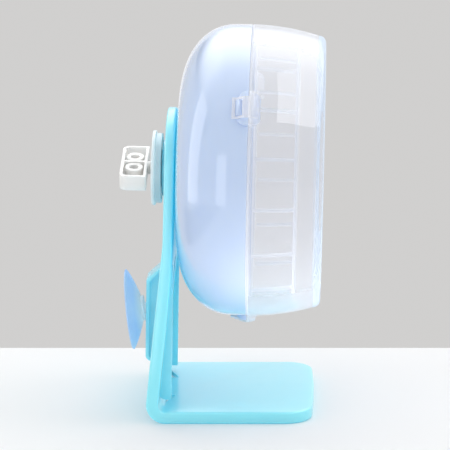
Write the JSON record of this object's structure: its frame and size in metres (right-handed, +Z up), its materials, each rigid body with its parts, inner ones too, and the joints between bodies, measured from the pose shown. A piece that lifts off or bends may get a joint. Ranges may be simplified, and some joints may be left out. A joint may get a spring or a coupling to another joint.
{
  "type": "rodent exercise wheel",
  "caption": "Clear-fronted drum wheel for a small pet to run in, on a ball bearing in an L-shaped stand with a suction cup and a thumb screw clamp.",
  "frame": {"origin": "centre of the box round the part, at the bottom, on the surface it stands on", "axes": "+X towards the clear open front of the drum, +Y to the left seen from the front, +Z up; the axle runs along +X, 1.4 degrees nose down"},
  "size_m": [0.0988, 0.1398, 0.184],
  "materials": {
    "cyan_plastic": "satin moulded plastic",
    "lilac_plastic": "glossy moulded plastic, slightly translucent",
    "clear_plastic": "clear glossy moulded plastic",
    "white_plastic": "satin moulded plastic",
    "soft_pvc": "clear blue soft plastic, glossy",
    "bearing_steel": "ground steel",
    "cage_steel": "pressed steel",
    "screw_steel": "zinc plated"
  },
  "bodies": {
    "stand": {"stand": "cyan_plastic", "suction_cup": "soft_pvc", "axle_spindle": "white_plastic", "axle_screw": "screw_steel", "axle_washer": "screw_steel", "bearing_inner_race": "bearing_steel"},
    "wheel": {"rear_shell": "lilac_plastic", "front_cover": "clear_plastic", "bearing_outer_race": "bearing_steel", "bearing_shield_rear": "bearing_steel", "bearing_shield_front": "bearing_steel", "hub_cap": "lilac_plastic", "cap_screw_1": "screw_steel", "cap_screw_2": "screw_steel", "cap_screw_3": "screw_steel"},
    "ball_cage": {"ball_cage": "cage_steel", "bearing_ball_1": "bearing_steel", "bearing_ball_2": "bearing_steel", "bearing_ball_3": "bearing_steel", "bearing_ball_4": "bearing_steel", "bearing_ball_5": "bearing_steel", "bearing_ball_6": "bearing_steel", "bearing_ball_7": "bearing_steel"},
    "clamp": {"clamp_disc": "white_plastic"},
    "thumb_screw": {"thumb_screw": "white_plastic"}
  },
  "joints": [
    {"name": "wheel_spin", "type": "hinge", "parent": "stand", "child": "wheel", "pos_m": [-0.01481, 0, 0.11448], "axis": [0.9997, 0, -0.0244], "continuous": true},
    {"name": "cage_roll", "type": "hinge", "parent": "stand", "child": "ball_cage", "pos_m": [-0.01481, 0, 0.11448], "axis": [0.9997, 0, -0.0244], "continuous": true},
    {"name": "clamp_slide", "type": "slide", "parent": "stand", "child": "clamp", "axis": [-0.9997, 0, 0.0244], "range_m": [0, 0.0045]},
    {"name": "thumb_turn", "type": "hinge", "parent": "clamp", "child": "thumb_screw", "pos_m": [-0.0341, 0, 0.11495], "axis": [-0.9997, 0, 0.0244], "range_deg": [0, 1080]}
  ],
  "couplings": [
    {"joint": "cage_roll", "follows": "wheel_spin", "ratio": 0.63},
    {"joint": "clamp_slide", "follows": "thumb_turn", "m_per_rad": 0.00023873}
  ]
}
